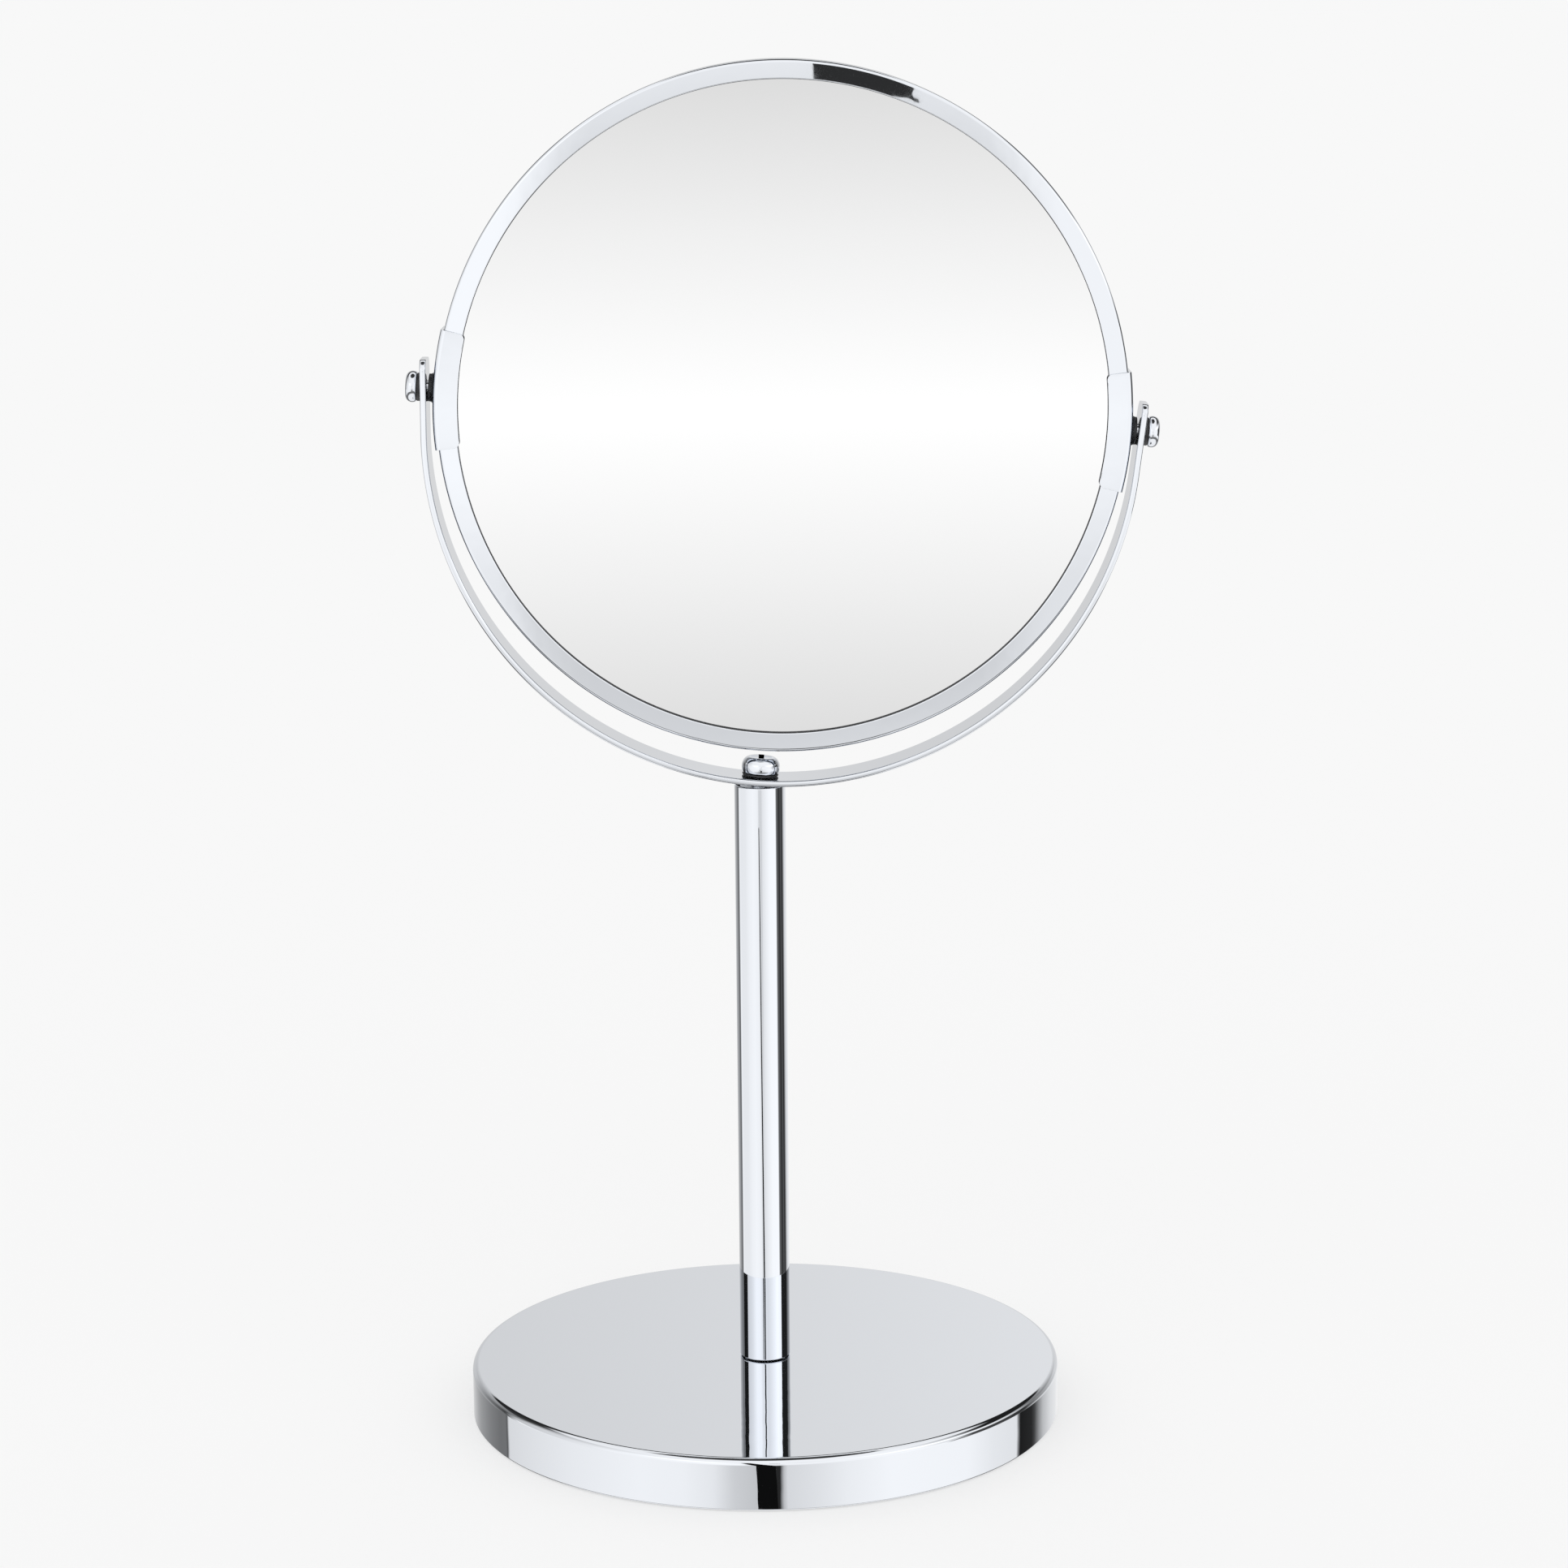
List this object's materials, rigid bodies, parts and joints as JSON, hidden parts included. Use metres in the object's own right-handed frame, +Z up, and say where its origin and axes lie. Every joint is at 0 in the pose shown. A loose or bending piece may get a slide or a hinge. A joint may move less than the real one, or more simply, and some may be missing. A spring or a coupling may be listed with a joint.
{
  "type": "shaving mirror",
  "caption": "Free-standing shaving mirror: a round double-sided mirror in a chromed rim tips right over inside a sprung yoke, on a post with a weighted round base.",
  "frame": {"origin": "Middle of the pad's flat underside, where the stand meets the table.", "axes": "+Z up along the post. -Y is the front, the side that the flat mirror faces at rest. X runs across the yoke; at rest the yoke leans 4 degrees towards +X."},
  "size_m": [0.1839, 0.1493, 0.3396],
  "materials": {
    "chrome": "bright chrome plating, polished, no grain",
    "mirror": "silvered float glass with a ground edge",
    "black_nylon": "moulded black nylon, slight sheen",
    "foam_rubber": "die-cut closed-cell foam rubber, matt",
    "cast_iron": "sand cast, unpainted",
    "zinc_steel": "zinc plated",
    "grey_card": "grey paper board"
  },
  "bodies": {
    "stand": {"base_cover": "chrome", "base_weight": "cast_iron", "base_pad": "foam_rubber", "base_screw": "zinc_steel", "base_washer": "zinc_steel", "post_tube": "chrome", "post_foot_plug": "zinc_steel", "post_top_plug": "zinc_steel"},
    "yoke": {"yoke_strip": "chrome", "yoke_screw": "chrome", "yoke_washer": "black_nylon", "outer_washer_left": "black_nylon", "outer_washer_right": "black_nylon"},
    "head": {"rim": "chrome", "front_mirror": "mirror", "rear_mirror": "mirror", "backing_card": "grey_card", "ring_spacer": "grey_card", "clip_left": "chrome", "clip_right": "chrome", "inner_spacer_left": "black_nylon", "inner_spacer_right": "black_nylon", "pivot_nut_left": "zinc_steel", "pivot_nut_right": "zinc_steel", "pivot_screw_left": "chrome", "pivot_screw_right": "chrome"}
  },
  "joints": [
    {"name": "yoke_swivel", "type": "hinge", "parent": "stand", "child": "yoke", "pos_m": [0, 0, 0.16264], "axis": [0.0698, 0, 0.9976], "continuous": true},
    {"name": "mirror_tilt", "type": "hinge", "parent": "yoke", "child": "head", "pos_m": [0.00648, 0, 0.25532], "axis": [0.9976, 0, -0.0698], "continuous": true}
  ]
}
